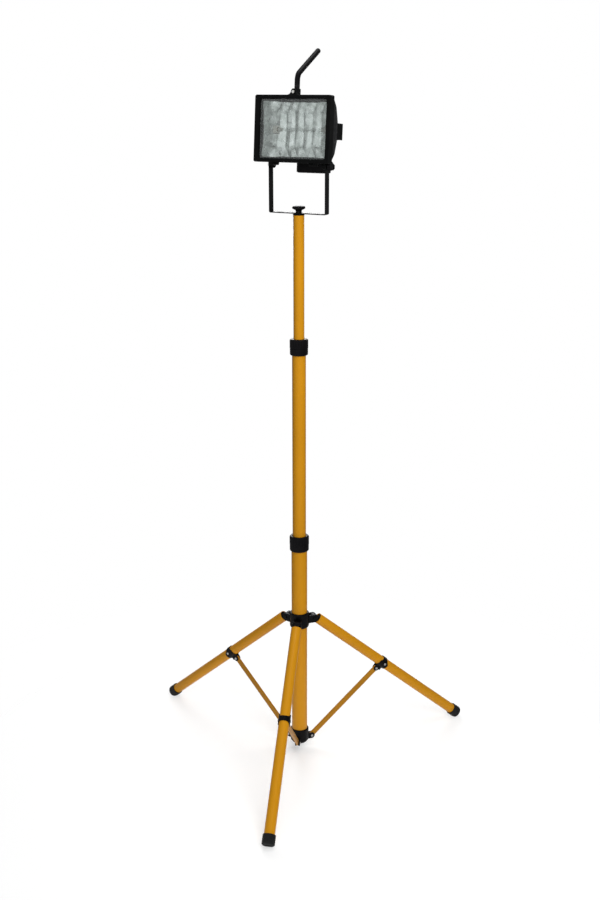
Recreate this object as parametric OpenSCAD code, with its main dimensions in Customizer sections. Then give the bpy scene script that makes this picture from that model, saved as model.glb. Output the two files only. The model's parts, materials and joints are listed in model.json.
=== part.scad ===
// Halogen work light on a three-section telescopic tripod with folding legs.
// Millimetres, +Z up. The origin is on the floor at the middle of the footprint.

/* [Column] */
// Outer diameter of the lower tube
lower_tube_d = 38; // [37:0.5:39]
// Outer diameter of the middle tube
middle_tube_d = 32; // [31:0.5:33]
// Outer diameter of the upper tube and of the leg tubes
upper_tube_d = 25; // [24:0.5:26]
// Wall of every tube
tube_wall = 1.2; // [1:0.1:1.4]
// Height of the lower collar's bottom edge
lower_collar_z = 530; // [528:1:560]
// Height of the upper collar's bottom edge
upper_collar_z = 1010; // [980:1:1020]
// Height of the top end of the upper tube
upper_tube_top = 1328; // [1250:1:1400]
// Length of the middle tube
middle_tube_len = 540; // [520:5:560]
// Length of the upper tube
upper_tube_len = 500; // [440:5:520]

/* [Legs] */
// Angle of each leg below the horizontal
leg_angle = 40.2; // [39:0.1:42]
// Distance of each leg's pivot from the column's axis
leg_pivot_r = 37; // [36:0.5:39]
// Length of each leg from its pivot to the end of its foot cap
leg_len = 531.7; // [520:0.1:545]
// Height of the leg's centre line above its pivot, square to the leg
leg_rise = 4.2; // [3:0.1:5]
// Distance along the leg from its pivot to the brace's pivot
brace_along = 238.5; // [230:0.5:245]
// Depth of the brace's pivot below the leg's centre line
brace_drop = 21.5; // [21.5:0.1:24]
// Distance of the lower hub's brace pivots from the column's axis
hub_pivot_r = 31.5; // [31:0.5:34]
// Height of the lower hub's brace pivots
hub_pivot_z = 26; // [25:0.5:28]
// Width of each brace
brace_w = 13; // [10:0.5:13]
// Thickness of each brace
brace_t = 4.4; // [3:0.1:4.4]

/* [Lamp head] */
// Angle of the lamp head round the column, from facing along -Y
head_pan = 19.5; // [0:0.1:40]
// Upward tilt of the lamp head
head_tilt = 4.8; // [0:0.1:20]
// Clear width between the yoke's arms
yoke_inner_w = 138.6; // [138.6:0.2:142]
// Thickness of the yoke's steel strip
yoke_t = 2.5; // [2.5:0.1:3.5]
// Width of the yoke's steel strip
yoke_w = 18; // [14:0.5:18]
// Height of the tilt pivots above the yoke's foot
yoke_rise = 106; // [100:1:120]
// Width of the bezel round the glass
bezel_w = 187; // [184:1:192]
// Height of the bezel round the glass
bezel_h = 143; // [141:1:146]
// Width of the opening in the bezel
window_w = 160; // [150:1:164]
// Height of the opening in the bezel
window_h = 124; // [116:1:126]

/* [Hidden] */
$fn = 64;

// Shared fits
running_gap = 0.05;
slide_gap = 0.15;
through = 1;

// Tube radii
lower_r = lower_tube_d / 2;
middle_r = middle_tube_d / 2;
upper_r = upper_tube_d / 2;
leg_r = upper_tube_d / 2;
leg_bore_r = leg_r - tube_wall;

// Column
lower_collar_r = lower_r + 4;
upper_collar_r = middle_r + 5;
collar_h = 38;
collar_body_h = 16;
collar_seat_h = 24;
nut_gap = 0.4;
lower_tube_bottom = 22;
middle_tube_bottom = upper_collar_z + collar_seat_h - middle_tube_len;
upper_tube_bottom = upper_tube_top - upper_tube_len;
bush_len = 20;

// Legs: the foot cap's end centre stands just off the floor, so its rim is flattened
foot_end_z = 8;
cap_r = leg_r + 2.5;
cap_len = 23;
leg_pivot_z = foot_end_z + leg_len * sin(leg_angle) - leg_rise * cos(leg_angle);
leg_end_r = leg_pivot_r + leg_len * cos(leg_angle) + leg_rise * sin(leg_angle);
leg_tube_start = 10.2;
plug_tongue_t = 12;
ear_t = 4;
ear_r = 10;
pin_r = 3;
band_t = 1.8;
clip_len = 26;
clip_ear_t = 2.5;
clip_gap = brace_t / 2 + 0.4;
rivet_r = 2.2;
rivet_head_r = 3.2;

// Lower hub
hub_wall = 3.5;
hub_top_z = 54;
hub_bottom_z = 17;
hub_ear_t = 3.2;
hub_ear_r = 7.5;

// Leg hub
leg_hub_r = lower_r + 4.5;
leg_hub_up = 21;
leg_hub_down = 17;

// The column stands behind the middle of the footprint, because one leg points along -Y
front_reach = leg_end_r + cap_r * sin(leg_angle);
rear_reach = leg_end_r / 2 + cap_r * sqrt(0.75 + pow(sin(leg_angle) / 2, 2));
column_y = (front_reach - rear_reach) / 2;

// Lamp head, measured from the tilt pivots: +X across, -Y out through the glass
yoke_foot_z = upper_tube_top + 3;
tilt_z = yoke_foot_z + yoke_rise;
head_z = 75.3;
face_y = -39;
bezel_back_y = face_y + 16.8;
flange_y = face_y + 12;
lip_t = 5.5;
glass_t = 4;
gasket_t = 2.5;
pane_w = bezel_w - 9;
pane_h = bezel_h - 9;
pane_corner = 5.5;
shell_front_y = -12;
shell_wall = 3;
fin_back_y = 78.5;
fin_half_w = 66;
fin_half_h = 18;
lug_t = 8;
lug_x = yoke_inner_w / 2 - 0.8 - lug_t;
hinge_y = bezel_back_y;
hinge_z = 1.5;
ear_top_z = 153;
lamp_y = 8;
box_front_y = 52;
box_d = 40;
box_w = 76;
box_top_z = 14;
box_bottom_z = -12;
boss_x = 29;
boss_y = 62;
gland_y = 72;
gland_z = -1;

// Handle bar: a short upright, then a long arm that leans back by this angle from the upright
handle_r = 6;
handle_y = -20;
ear_block_top = head_z + bezel_h / 2 + 13.7;
handle_rise = 29.5;
handle_reach = 107;
handle_lean = 57.2;

// Colours
yellow = [0.86, 0.55, 0.10];
black = [0.06, 0.06, 0.06];
dark_metal = [0.10, 0.10, 0.11];
steel = [0.62, 0.63, 0.65];
bright = [0.80, 0.81, 0.82];
ceramic = [0.90, 0.88, 0.82];
brass = [0.78, 0.62, 0.30];
clear = [0.78, 0.86, 0.86, 0.4];

// ---- placing ----
module at_column() {
    translate([0, column_y, 0]) children();
}

// Children are drawn with the column's axis as Z and the leg pointing along +X
module leg_side(turn) {
    at_column() rotate([0, 0, turn]) children();
}
front_turn = -90;
left_turn = 150;
right_turn = 30;

// Children are drawn along +X from the leg's pivot, with +Z square to the leg
module leg_frame(turn) {
    leg_side(turn) translate([leg_pivot_r, 0, leg_pivot_z]) rotate([0, leg_angle, 0]) children();
}

module yoke_frame() {
    at_column() translate([0, 0, tilt_z]) rotate([0, 0, -head_pan]) children();
}

module head_frame() {
    yoke_frame() rotate([-head_tilt, 0, 0]) children();
}

// ---- shared shapes ----
module tube(r, bore, len) {
    difference() {
        cylinder(r = r, h = len);
        translate([0, 0, -through]) cylinder(r = bore, h = len + 2 * through);
    }
}

// A rod along +X, centred on the origin
module rod_x(r, len) {
    rotate([0, 90, 0]) cylinder(r = r, h = len, center = true);
}

// A rod along Y, centred on the origin
module rod_y(r, len) {
    rotate([90, 0, 0]) cylinder(r = r, h = len, center = true);
}

module rounded_rect(w, h, r) {
    square([w - 2 * r, h], center = true);
    square([w, h - 2 * r], center = true);
    for (x = [-1, 1], z = [-1, 1])
        translate([x * (w / 2 - r), z * (h / 2 - r)]) circle(r = r);
}

// A plate that stands in the XZ plane from y0 towards +Y, centred on the head's axis
module head_plate(w, h, r, y0, t) {
    translate([0, y0, head_z]) rotate([90, 0, 0]) translate([0, 0, -t])
        linear_extrude(t) rounded_rect(w, h, r);
}

// ---- column ----
module lower_tube() {
    color(yellow) at_column() translate([0, 0, lower_tube_bottom])
        tube(lower_r, lower_r - tube_wall, lower_collar_z + collar_seat_h - lower_tube_bottom);
}

module lower_hub() {
    hub_r = lower_r + hub_wall;
    pivot_reach = hub_pivot_r;
    ear_y = brace_t / 2 + 0.4;
    color(black) at_column() difference() {
        union() {
            rotate_extrude() polygon([[0, hub_bottom_z - 5], [9, hub_bottom_z - 4],
                                      [hub_r - 4, hub_bottom_z], [hub_r, hub_bottom_z + 6],
                                      [hub_r, hub_top_z - 2], [hub_r - 2, hub_top_z],
                                      [0, hub_top_z]]);
            for (turn = [front_turn, left_turn, right_turn], side = [-1, 1])
                rotate([0, 0, turn]) translate([0, side * (ear_y + hub_ear_t / 2), 0]) {
                    translate([lower_r + 1, -hub_ear_t / 2, hub_pivot_z - hub_ear_r])
                        cube([pivot_reach - lower_r - 1, hub_ear_t, 2 * hub_ear_r]);
                    translate([pivot_reach, 0, hub_pivot_z]) rod_y(hub_ear_r, hub_ear_t);
                }
        }
        translate([0, 0, lower_tube_bottom]) cylinder(r = lower_r, h = hub_top_z);
        for (turn = [front_turn, left_turn, right_turn])
            rotate([0, 0, turn]) translate([pivot_reach, 0, hub_pivot_z]) rod_y(rivet_r, 40);
    }
}

// Stub rivets: the middle of each is left out, where the brace drops clear as the legs fold
module lower_hub_rivets() {
    ear_y = brace_t / 2 + 0.4;
    color(steel) at_column()
        for (turn = [front_turn, left_turn, right_turn], side = [-1, 1])
            rotate([0, 0, turn]) translate([hub_pivot_r, 0, hub_pivot_z]) {
                translate([0, side * (ear_y + hub_ear_t / 2), 0]) rod_y(rivet_r, hub_ear_t);
                translate([0, side * (ear_y + hub_ear_t + 0.6), 0]) rod_y(rivet_head_r, 1.2);
            }
}

// Collar parts, drawn upwards from the collar's bottom edge
module collar_body(collar_r, tube_r) {
    color(black) at_column() rotate_extrude() polygon([
        [tube_r, 0], [collar_r - 2, 0], [collar_r, 3], [collar_r, collar_body_h],
        [tube_r + 1.2, collar_body_h], [tube_r + 1.2, collar_seat_h], [tube_r, collar_seat_h]]);
}

module collar_nut(collar_r, tube_r, inner_r) {
    flutes = 18;
    flute_r = 1.6;
    color(black) at_column() difference() {
        rotate_extrude() polygon([
            [tube_r + 1.2 + running_gap, collar_body_h + nut_gap],
            [collar_r + 0.4, collar_body_h + nut_gap],
            [collar_r + 0.4, collar_h - 4], [collar_r - 2.5, collar_h],
            [inner_r + slide_gap, collar_h], [inner_r + slide_gap, collar_h - 2],
            [tube_r + 1.2 + running_gap, collar_h - 2]]);
        for (k = [0 : flutes - 1])
            rotate([0, 0, k * 360 / flutes]) translate([collar_r + 1.3, 0, collar_body_h + 2.5])
                cylinder(r = flute_r, h = collar_h, $fn = 24);
    }
}

module collet(tube_r, inner_r) {
    slit_w = 2;
    color(bright) at_column() difference() {
        translate([0, 0, collar_seat_h + 0.2])
            tube(tube_r + 0.9, inner_r + running_gap, collar_h - collar_seat_h - 2.6);
        translate([0, -slit_w / 2, 0]) cube([60, slit_w, 60]);
    }
}

module lower_collar_body() translate([0, 0, lower_collar_z]) collar_body(lower_collar_r, lower_r);
module lower_collar_nut() translate([0, 0, lower_collar_z]) collar_nut(lower_collar_r, lower_r, middle_r);
module lower_collet() translate([0, 0, lower_collar_z]) collet(lower_r, middle_r);
module upper_collar_body() translate([0, 0, upper_collar_z]) collar_body(upper_collar_r, middle_r);
module upper_collar_nut() translate([0, 0, upper_collar_z]) collar_nut(upper_collar_r, middle_r, upper_r);
module upper_collet() translate([0, 0, upper_collar_z]) collet(middle_r, upper_r);

module middle_tube() {
    color(yellow) at_column() translate([0, 0, middle_tube_bottom])
        tube(middle_r, middle_r - tube_wall, middle_tube_len);
}

module upper_tube() {
    color(yellow) at_column() translate([0, 0, upper_tube_bottom])
        tube(upper_r, upper_r - tube_wall, upper_tube_len);
}

// A nylon sleeve over a tube's lower end, which guides it in the next tube
module slide_bush(tube_r, guide_r, z) {
    color(bright) at_column() translate([0, 0, z]) tube(guide_r - running_gap, tube_r, bush_len);
}
module middle_slide_bush() slide_bush(middle_r, lower_r - tube_wall, middle_tube_bottom);
module upper_slide_bush() slide_bush(upper_r, middle_r - tube_wall, upper_tube_bottom);

module top_plug() {
    spigot_r = upper_r - tube_wall;
    color(black) at_column() translate([0, 0, upper_tube_top]) difference() {
        rotate_extrude() polygon([[0, -25], [spigot_r, -25], [spigot_r, 0], [upper_r + 1, 0],
                                  [upper_r + 1, 1.5], [upper_r - 2, 3], [0, 3]]);
        translate([0, 0, -20]) cylinder(r = 4, h = 30);
    }
}

// The fixed stud that the yoke turns on
module top_stud() {
    color(steel) at_column() translate([0, 0, upper_tube_top - 20]) cylinder(r = 4, h = 32);
}

module pan_knob() {
    yoke_top = yoke_foot_z + yoke_t + 0.2;
    lobes = 8;
    color(black) at_column() translate([0, 0, yoke_top]) difference() {
        rotate_extrude() polygon([[0, 0], [7.5, 0], [6.5, 3], [8, 5.5], [13.5, 8], [14.8, 9.5], [14.8, 12],
                                  [13.2, 14], [8, 15], [0, 15.4]]);
        translate([0, 0, -through]) cylinder(r = 4 + running_gap, h = 12 + through);
        for (k = [0 : lobes - 1])
            rotate([0, 0, k * 360 / lobes]) translate([16.8, 0, 5]) cylinder(r = 3, h = 12, $fn = 32);
    }
}

// ---- yoke and tilt ----
module yoke() {
    half = yoke_inner_w / 2;
    bend_r = 4;
    color(dark_metal) yoke_frame() difference() {
        union() {
            for (side = [-1, 1]) mirror([side < 0 ? 1 : 0, 0, 0]) {
                translate([half, -yoke_w / 2, -yoke_rise + bend_r])
                    cube([yoke_t, yoke_w, yoke_rise - bend_r]);
                translate([half + yoke_t / 2, 0, 0]) rod_x(yoke_w / 2, yoke_t);
                translate([half + yoke_t - bend_r, yoke_w / 2, -yoke_rise + bend_r]) rotate([90, 90, 0])
                    rotate_extrude(angle = 90) translate([bend_r - yoke_t, 0]) square([yoke_t, yoke_w]);
            }
            translate([-half - yoke_t + bend_r, -yoke_w / 2, -yoke_rise])
                cube([2 * (half + yoke_t - bend_r), yoke_w, yoke_t]);
        }
        rod_x(pin_r + running_gap, yoke_inner_w + 20);
        translate([0, 0, -yoke_rise - through]) cylinder(r = 4 + running_gap, h = yoke_t + 2 * through);
    }
}

// A plain bolt on the left and a stud for the knob on the right
module tilt_bolts() {
    half = yoke_inner_w / 2;
    grip = half + yoke_t;
    bolt_in = half - 0.8 - lug_t + 0.5;
    color(steel) head_frame() {
        translate([-(bolt_in + grip) / 2, 0, 0]) rod_x(pin_r, grip - bolt_in);
        translate([-grip - 2, 0, 0]) rotate([0, 90, 0]) cylinder(r = 5.5, h = 3.8, center = true, $fn = 6);
        translate([(bolt_in + grip + 6) / 2, 0, 0]) rod_x(pin_r, grip + 6 - bolt_in);
    }
}

module tilt_knob() {
    knob_x = yoke_inner_w / 2 + yoke_t + 0.2;
    knob_t = 10;
    lobes = 6;
    color(black) head_frame() translate([knob_x, 0, 0]) rotate([0, 90, 0]) difference() {
        rotate_extrude() polygon([[0, 0], [6.5, 0], [7, 2.5], [10.5, 3.5], [10.5, knob_t - 1.5],
                                  [9, knob_t], [0, knob_t]]);
        translate([0, 0, -through]) cylinder(r = pin_r + running_gap, h = 6 + 2 * through);
        for (k = [0 : lobes - 1])
            rotate([0, 0, k * 360 / lobes]) translate([12.5, 0, -through])
                cylinder(r = 3.4, h = 20, $fn = 32);
    }
}

// ---- lamp head ----
// Outline stations of the housing: [y, width, height, corner radius]
shell_stations = [[shell_front_y, pane_w, pane_h, 8], [10, 166, 120, 14], [34, 146, 96, 18],
                  [46, 138, 74, 18], [52, 130, 48, 16]];

module shell_solid(inset, back_inset) {
    hull() for (s = shell_stations)
        head_plate(s[1] - 2 * inset, s[2] - 2 * inset, s[3] - inset / 2, s[0] - back_inset, 0.01, $fn = 32);
}

module cooling_fins() {
    count = 15;
    fin_t = 2.6;
    pitch = (2 * fin_half_w - fin_t) / (count - 1);
    root_y = 48;
    for (k = [0 : count - 1])
        translate([-fin_half_w + k * pitch, root_y, head_z - fin_half_h])
            cube([fin_t, fin_back_y - root_y, 2 * fin_half_h]);
    for (side = [-1, 1], y = [56, 63, 70])
        translate([side * fin_half_w - 0.6, y, head_z - fin_half_h]) cube([1.2, 2.6, 2 * fin_half_h]);
}

module housing() {
    knuckle_x = 38;
    knuckle_w = 12;
    color(dark_metal) head_frame() difference() {
        union() {
            shell_solid(0, 0);
            head_plate(pane_w, pane_h, 8, flange_y, shell_front_y - flange_y + 0.01);
            cooling_fins();
            // Pedestal for the terminal box
            translate([-22, 40, box_top_z]) cube([44, 26, head_z - fin_half_h - box_top_z + 6]);
            for (side = [-1, 1]) mirror([side < 0 ? 1 : 0, 0, 0]) {
                // Tilt lug
                translate([lug_x + lug_t / 2, 0, 0]) rod_x(8, lug_t);
                translate([lug_x, -8, 0]) cube([lug_t, 16, 20]);
                // Hinge knuckle under the front flange
                translate([knuckle_x + knuckle_w / 2, hinge_y, hinge_z]) rod_x(3.5, knuckle_w);
                translate([knuckle_x, hinge_y - 0.5, hinge_z]) cube([knuckle_w, 4, 10]);
            }
            // Ear for the bezel screw and the handle, which reaches over the bezel
            translate([-6.5, face_y + 8, ear_block_top - 13.2]) cube([13, 17, 13.2]);
            translate([-6.5, bezel_back_y + 0.4, head_z + 50]) cube([13, 8, bezel_h / 2 - 49]);
        }
        shell_solid(shell_wall, shell_wall);
        head_plate(pane_w - 2 * shell_wall, pane_h - 2 * shell_wall, 7, flange_y - through,
                   shell_front_y - flange_y);
        rod_x(pin_r + running_gap, yoke_inner_w + 20);
        translate([0, hinge_y, hinge_z]) rod_x(1.5, 2 * (knuckle_x + knuckle_w) + 2);
        translate([0, face_y + 12.8, ear_top_z]) rod_y(3, 14);
        // Wire way down through the pedestal
        translate([0, 57, box_top_z - through]) cylinder(r = 5, h = 26);
        translate([0, 50, box_top_z + 20]) rod_y(5, 24);
    }
}

reflector_stations = [[-24, 165, 120, 8], [0, 150, 102, 12], [23, 134, 76, 14], [40, 112, 34, 12]];
module reflector_solid(inset) {
    hull() for (s = reflector_stations)
        head_plate(s[1] - 2 * inset, s[2] - 2 * inset, s[3], s[0] - inset, 0.01, $fn = 32);
}

module reflector() {
    color(bright) head_frame() difference() {
        reflector_solid(0);
        reflector_solid(1);
        for (side = [-1, 1]) translate([side * 66, lamp_y, head_z]) cube([24, 24, 26], center = true);
    }
}

module lamp_holders() {
    color(ceramic) head_frame() for (side = [-1, 1]) mirror([side < 0 ? 1 : 0, 0, 0]) difference() {
        translate([57.5, lamp_y - 6.5, head_z - 8]) cube([12, 13, 16]);
        translate([50, lamp_y, head_z]) rotate([0, 90, 0]) cylinder(r = 4.6, h = 13.5);
        translate([50, lamp_y - 20, head_z - 4.6]) cube([10, 20, 9.2]);
    }
}

module holder_contacts() {
    color(brass) head_frame() for (side = [-1, 1])
        translate([side * 61.5, lamp_y, head_z]) rod_x(2.5, 4);
}

module lamp_tube() {
    color(clear) head_frame() translate([0, lamp_y, head_z]) rotate([0, 90, 0]) difference() {
        union() {
            cylinder(r = 5, h = 84, center = true);
            cylinder(r = 3, h = 100, center = true);
        }
        cylinder(r = 4, h = 80, center = true);
    }
}

module lamp_end_caps() {
    color(ceramic) head_frame() translate([0, lamp_y, head_z]) for (side = [-1, 1])
        translate([side * 54.5, 0, 0]) rod_x(3.7, 9);
}

module filament() {
    color(steel) head_frame() translate([0, lamp_y, head_z]) {
        rod_x(0.9, 64);
        for (x = [-24, 0, 24]) translate([x, 0, 0]) rod_x(3.4, 0.8);
    }
}

module bezel_hinge_pins() {
    color(steel) head_frame() for (side = [-1, 1])
        translate([side * 49, hinge_y, hinge_z]) rod_x(1.5, 22);
}

// A bar that stands on the housing's ear and leans back over the lamp
module handle() {
    bend_r = 20;
    turn = handle_lean;
    rise = handle_rise - bend_r * tan(turn / 2);
    reach = handle_reach - bend_r * tan(turn / 2);
    color(black) head_frame() translate([0, handle_y, ear_block_top]) {
        cylinder(r = handle_r, h = rise);
        translate([0, bend_r, rise]) {
            rotate([90, 0, -90]) rotate_extrude(angle = turn) translate([bend_r, 0]) circle(r = handle_r);
            rotate([-turn, 0, 0]) translate([0, -bend_r, 0]) rotate_extrude() polygon(concat(
                [[0, 0], [handle_r, 0]],
                [for (a = [0 : 15 : 90]) [handle_r * cos(a), reach + handle_r * sin(a)]]));
        }
    }
}

module box_outline(inset) {
    corner = 12;
    translate([0, box_front_y + box_d / 2])
        rounded_rect(box_w - 2 * inset, box_d - 2 * inset, corner - inset);
}

module terminal_box() {
    color(black) head_frame() difference() {
        union() {
            difference() {
                translate([0, 0, box_bottom_z]) linear_extrude(box_top_z - box_bottom_z) box_outline(0);
                translate([0, 0, box_bottom_z - through])
                    linear_extrude(box_top_z - box_bottom_z - 2.5 + through) box_outline(2.5);
            }
            for (side = [-1, 1]) translate([side * boss_x, boss_y, box_bottom_z])
                cylinder(r = 3.6, h = box_top_z - box_bottom_z - 1);
        }
        for (side = [-1, 1]) translate([side * boss_x, boss_y, box_bottom_z - through])
            cylinder(r = 1.5, h = 14);
        translate([box_w / 2, gland_y, gland_z]) rod_x(6, 12);
        translate([0, 57, box_top_z - 5]) cylinder(r = 5, h = 10);
    }
}

module terminal_box_cover() {
    color(black) head_frame() difference() {
        for (step = [[4, 3.4], [3, 1.4], [2, 0]])
            translate([0, 0, box_bottom_z - step[0]]) linear_extrude(step[0]) box_outline(step[1]);
        for (side = [-1, 1]) translate([side * boss_x, boss_y, box_bottom_z - 5]) {
            cylinder(r = 1.5, h = 10);
            cylinder(r = 3.2, h = 3);
        }
    }
}

module box_screws() {
    color(steel) head_frame() for (side = [-1, 1])
        translate([side * boss_x, boss_y, box_bottom_z - 4]) {
            cylinder(r = 3, h = 2);
            cylinder(r = 1.5, h = 14);
        }
}

module terminal_block() {
    color(ceramic) head_frame() difference() {
        translate([-16, box_front_y + 12, box_top_z - 14.5]) cube([32, 15, 12]);
        for (x = [-10, 0, 10]) translate([x, box_front_y + 19.5, box_top_z - 8.5]) rod_y(2.2, 40);
    }
}

module gland_body() {
    color(black) head_frame() translate([box_w / 2, gland_y, gland_z]) rotate([0, 90, 0])
    difference() {
        union() {
            translate([0, 0, -6]) cylinder(r = 6, h = 14);
            cylinder(r = 7.5, h = 3, $fn = 6);
        }
        translate([0, 0, -7]) cylinder(r = 4.5, h = 30);
    }
}

module gland_nut() {
    color(black) head_frame() translate([box_w / 2 + 3.1, gland_y, gland_z]) rotate([0, 90, 0])
    difference() {
        cylinder(r = 7.5, h = 9, $fn = 6);
        translate([0, 0, -through]) cylinder(r = 6 + running_gap, h = 6 + through);
        cylinder(r = 5, h = 10);
    }
}

module bezel() {
    knuckle_x = 50.2;
    knuckle_w = 9.8;
    inner_y = face_y + lip_t;
    color(dark_metal) head_frame() difference() {
        union() {
            head_plate(bezel_w, bezel_h, 4, face_y, bezel_back_y - face_y);
            // Screw ear, which flares into the top edge
            translate([0, face_y + 7.8, head_z + bezel_h / 2]) rotate([90, 0, 0]) linear_extrude(5)
                polygon([[-13, -3], [13, -3], [13, 0.6], [9, 2.6], [7, 6], [-7, 6], [-9, 2.6], [-13, 0.6]]);
            translate([0, face_y + 5.3, ear_top_z]) rod_y(7, 5);
            for (side = [-1, 1]) mirror([side < 0 ? 1 : 0, 0, 0]) {
                translate([knuckle_x + knuckle_w / 2, hinge_y, hinge_z]) rod_x(3.5, knuckle_w);
                translate([knuckle_x, hinge_y - 5, hinge_z]) cube([knuckle_w, 5, 4]);
            }
        }
        hull() {
            head_plate(window_w, window_h, 3, inner_y + 0.5, 0.01, $fn = 32);
            head_plate(window_w + 8, window_h + 6, 4, face_y - through, 0.01, $fn = 32);
        }
        head_plate(window_w, window_h, 3, face_y, lip_t + through);
        head_plate(pane_w + 1, pane_h + 1, pane_corner + 0.5, inner_y, bezel_back_y - inner_y + through);
        for (side = [-1, 1]) translate([side * 44 - 6.4, hinge_y - 4.5, -10]) cube([12.8, 10, 19]);
        translate([0, hinge_y, hinge_z]) rod_x(1.5 + running_gap, 140);
        translate([0, face_y + 5.3, ear_top_z]) rod_y(2.6, 20);
    }
}

module front_glass() {
    color(clear) head_frame() head_plate(pane_w, pane_h, pane_corner, face_y + lip_t, glass_t);
}

module glass_gasket() {
    color(black) head_frame() difference() {
        head_plate(pane_w, pane_h, pane_corner, face_y + lip_t + glass_t, gasket_t);
        head_plate(pane_w - 12, pane_h - 12, 4, face_y + lip_t, 20);
    }
}

module bezel_screw() {
    color(bright) head_frame() {
        translate([0, face_y + 10.8, ear_top_z]) rod_y(2.5, 16);
        translate([0, face_y + 1.4, ear_top_z]) rod_y(3.4, 2.8);
    }
}

// ---- leg hub ----
module leg_hub() {
    ear_y = plug_tongue_t / 2 + 0.1;
    color(black) at_column() difference() {
        union() {
            translate([0, 0, leg_pivot_z]) rotate_extrude() polygon([
                [0, -leg_hub_down], [leg_hub_r - 1.5, -leg_hub_down], [leg_hub_r, -leg_hub_down + 3],
                [leg_hub_r, leg_hub_up - 3], [leg_hub_r - 1.5, leg_hub_up], [0, leg_hub_up]]);
            for (turn = [front_turn, left_turn, right_turn], side = [-1, 1])
                rotate([0, 0, turn]) translate([0, side * (ear_y + ear_t / 2), leg_pivot_z]) {
                    translate([lower_r + 1, -ear_t / 2, -ear_r])
                        cube([leg_pivot_r - lower_r - 1, ear_t, 2 * ear_r]);
                    translate([leg_pivot_r, 0, 0]) rod_y(ear_r, ear_t);
                }
            rotate([0, 0, -front_turn]) translate([25, 0, leg_pivot_z]) rod_x(8, 11);
        }
        cylinder(r = lower_r + slide_gap, h = 600);
        rotate([0, 0, -front_turn]) translate([25, 0, leg_pivot_z]) rod_x(pin_r + running_gap, 30);
        for (turn = [front_turn, left_turn, right_turn])
            rotate([0, 0, turn]) translate([leg_pivot_r, 0, leg_pivot_z]) rod_y(pin_r, 40);
    }
}

module leg_pins() {
    half = plug_tongue_t / 2 + 0.1 + ear_t;
    color(dark_metal) at_column() for (turn = [front_turn, left_turn, right_turn])
        rotate([0, 0, turn]) translate([leg_pivot_r, 0, leg_pivot_z]) {
            rod_y(pin_r, 2 * half);
            for (side = [-1, 1]) translate([0, side * (half + 0.8), 0]) rod_y(5, 1.6);
        }
}

// Thumbscrew that clamps the hub to the column, at the back between two legs
module hub_lock_screw() {
    tip = lower_r + 0.1;
    grip_x = 31;
    grip_t = 11;
    color(black) leg_side(-front_turn) translate([0, 0, leg_pivot_z]) rotate([0, 90, 0]) {
        translate([0, 0, tip]) cylinder(r = pin_r, h = grip_x - tip + 1);
        difference() {
            translate([0, 0, grip_x]) rotate_extrude() polygon([[0, 0], [6, 0], [7, 3], [11, 4.5],
                                                                [11, grip_t - 2], [9, grip_t], [0, grip_t]]);
            for (k = [0 : 4]) rotate([0, 0, k * 72]) translate([14, 0, grip_x - 1])
                cylinder(r = 4.5, h = 14, $fn = 32);
        }
    }
}

// ---- legs, each drawn in its own leg frame ----
module leg_tube(turn) {
    color(yellow) leg_frame(turn) translate([leg_tube_start, 0, leg_rise]) rotate([0, 90, 0])
        tube(leg_r, leg_bore_r, leg_len - leg_tube_start - 4);
}

module leg_plug(turn) {
    tongue_r = 9.6;
    color(black) leg_frame(turn) difference() {
        union() {
            rod_y(tongue_r, plug_tongue_t);
            translate([0, -plug_tongue_t / 2, leg_rise - 9.2])
                cube([leg_tube_start + 3, plug_tongue_t, 14.4]);
            translate([leg_tube_start + 2, 0, leg_rise]) rotate([0, 90, 0])
                cylinder(r = leg_bore_r, h = 22);
        }
        rod_y(pin_r + running_gap, 40);
    }
}

module foot_cap(turn) {
    wall = cap_r - leg_r;
    color(black) difference() {
        leg_frame(turn) translate([leg_len - cap_len, 0, leg_rise]) rotate([0, 90, 0]) rotate_extrude()
            polygon(concat([[0, cap_len - 4], [leg_r, cap_len - 4], [leg_r, 0], [cap_r - 0.5, 0], [cap_r, 1]],
                           [for (a = [0 : 15 : 90]) [cap_r - 3 + 3 * cos(a), cap_len - 3 + 3 * sin(a)]],
                           [[0, cap_len]]));
        translate([0, 0, -50]) cube([1500, 1500, 100], center = true);
    }
}

module leg_clip(turn) {
    color(black) leg_frame(turn) translate([brace_along, 0, leg_rise]) difference() {
        union() {
            // Band, narrow over the top of the tube and wide at its sides
            translate([4, 0, 0]) difference() {
                rod_x(leg_r + band_t, clip_len);
                for (side = [-1, 1]) translate([side * 20, 0, leg_r + band_t]) rod_y(14, 60);
            }
            for (side = [-1, 1]) translate([0, side * (clip_gap + clip_ear_t / 2), 0]) {
                translate([-7, -clip_ear_t / 2, -brace_drop]) cube([18, clip_ear_t, brace_drop]);
                translate([0, 0, -brace_drop]) rod_y(7, clip_ear_t);
            }
        }
        rod_x(leg_r, 80);
        translate([0, 0, -brace_drop]) rod_y(rivet_r, 40);
    }
}

module clip_rivets(turn) {
    half = clip_gap + clip_ear_t;
    color(steel) leg_frame(turn) translate([brace_along, 0, leg_rise]) {
        translate([0, 0, -brace_drop]) rod_y(rivet_r, 2 * half);
        for (side = [-1, 1]) {
            translate([0, side * (half + 0.6), -brace_drop]) rod_y(rivet_head_r, 1.2);
            translate([7, side * (leg_r + band_t + 0.6), 0]) rod_y(3, 1.2);
        }
    }
}

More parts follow.
